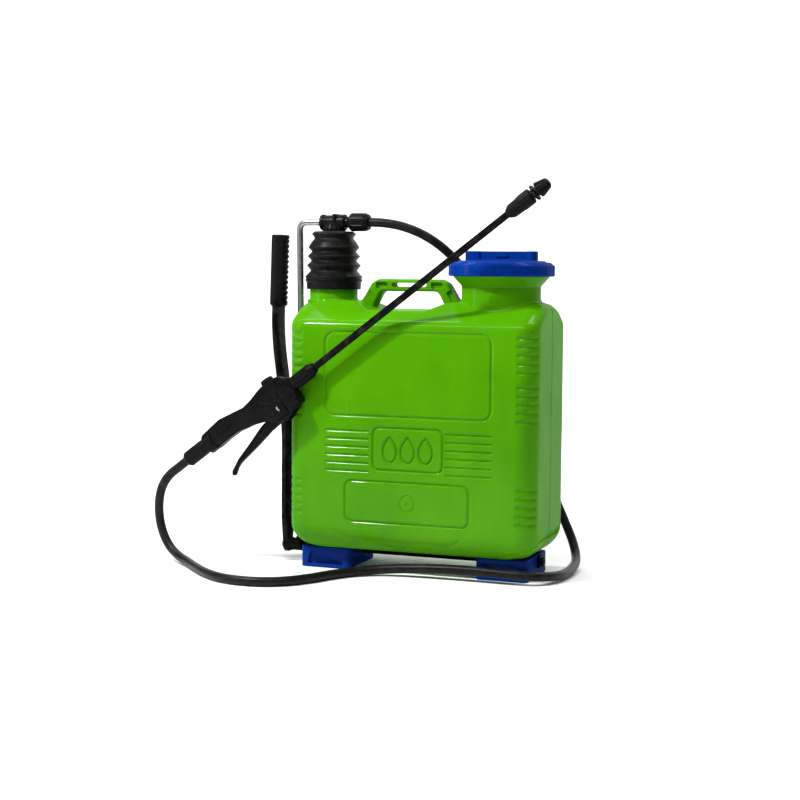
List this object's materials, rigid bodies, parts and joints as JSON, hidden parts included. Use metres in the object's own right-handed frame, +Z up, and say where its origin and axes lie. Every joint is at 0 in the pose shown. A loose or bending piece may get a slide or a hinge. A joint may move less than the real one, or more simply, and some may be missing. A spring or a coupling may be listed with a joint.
{
  "type": "knapsack sprayer",
  "caption": "Moulded tank on two feet with a bellows-sealed lever pump, screw lid, carry handle, hose, trigger gun and angled lance with adjustable nozzle.",
  "frame": {"origin": "on the floor under the tank, midway between the two feet and between the tank's front and back faces", "axes": "+Z up, +Y towards the carrier's back (the plain strap side), -Y out of the decorated front, -X towards the pump lever"},
  "size_m": [0.5915, 0.3248, 0.539],
  "materials": {
    "green_plastic": "blow-moulded, satin gloss",
    "blue_plastic": "injection-moulded, gloss",
    "black_plastic": "injection-moulded, satin",
    "natural_plastic": "unpigmented, matt",
    "rubber": "moulded, satin",
    "hose_rubber": "extruded, fine braid print",
    "grip_rubber": "moulded ribs, satin",
    "steel": "zinc-plated",
    "rod_steel": "bright drawn wire",
    "painted_steel": "black paint",
    "lance_coat": "black coated tube",
    "webbing": "woven",
    "padding": "covered foam"
  },
  "bodies": {
    "sprayer_body": {"tank": "green_plastic", "carry_handle": "green_plastic", "left_foot": "blue_plastic", "right_foot": "blue_plastic", "foot_screws": "steel", "bellows_cuff": "black_plastic", "pump_cylinder": "natural_plastic", "foot_valve": "black_plastic", "suction_screen": "natural_plastic", "filler_strainer": "black_plastic", "strap_anchor": "black_plastic", "strap_hooks": "black_plastic", "left_strap": "webbing", "right_strap": "webbing", "left_pad": "padding", "right_pad": "padding", "hose": "hose_rubber"},
    "pump": {"bellows": "rubber", "pump_head": "black_plastic", "head_spigot": "black_plastic", "hose_nut": "black_plastic", "connecting_rod": "rod_steel", "piston_tube": "natural_plastic", "piston": "black_plastic", "piston_seal": "rubber", "outlet_ball": "steel"},
    "lever": {"lever_arm": "black_plastic", "lever_grip": "grip_rubber", "lever_shaft": "steel", "crank": "painted_steel", "shaft_clip": "steel", "lever_screw": "steel"},
    "lid_insert": {"lid_gasket": "rubber"},
    "lid": {"lid_cap": "blue_plastic"},
    "gun": {"gun_body": "black_plastic", "gun_barb": "black_plastic", "gun_hose_nut": "black_plastic", "valve_cap": "black_plastic", "trigger_pin": "steel", "lance_nut": "black_plastic", "lance_tube": "lance_coat", "nozzle_body": "black_plastic", "lock_ring": "black_plastic", "valve_seal": "rubber"},
    "trigger": {"trigger": "black_plastic"},
    "valve_stem": {"valve_stem": "steel", "valve_spring": "steel"},
    "nozzle_tip": {"nozzle_tip": "black_plastic"}
  },
  "joints": [
    {"name": "lever_swing", "type": "hinge", "parent": "sprayer_body", "child": "lever", "pos_m": [-0.213, -0.002, 0.02], "axis": [-1, 0, 0], "range_deg": [0, 48]},
    {"name": "pump_stroke", "type": "slide", "parent": "sprayer_body", "child": "pump", "axis": [0, 0, -1], "range_m": [0, 0.0307], "deforming": ["bellows"]},
    {"name": "lid_lift", "type": "slide", "parent": "sprayer_body", "child": "lid_insert", "axis": [0, 0, 1], "range_m": [0, 0.06]},
    {"name": "lid_turn", "type": "hinge", "parent": "lid_insert", "child": "lid", "pos_m": [0.107, 0, 0.426], "axis": [0, 0, 1], "range_deg": [0, 360]},
    {"name": "gun_lift", "type": "slide", "parent": "sprayer_body", "child": "gun", "axis": [0, 0, 1], "range_m": [0, 0.12]},
    {"name": "trigger_squeeze", "type": "hinge", "parent": "gun", "child": "trigger", "pos_m": [-0.17022, -0.098, 0.23282], "axis": [0, 1, 0], "range_deg": [0, 10], "stiffness_Nm_per_rad": 4, "springref_deg": -6.88},
    {"name": "valve_push", "type": "slide", "parent": "gun", "child": "valve_stem", "axis": [0.7965, 0, 0.6046], "range_m": [0, 0.0027]},
    {"name": "nozzle_turn", "type": "hinge", "parent": "gun", "child": "nozzle_tip", "pos_m": [0.18591, -0.098, 0.52448], "axis": [0.7965, 0, 0.6046], "range_deg": [0, 270]}
  ],
  "couplings": [
    {"joint": "pump_stroke", "follows": "lever_swing", "m_per_rad": 0.03657},
    {"joint": "valve_push", "follows": "trigger_squeeze", "m_per_rad": 0.0153}
  ]
}
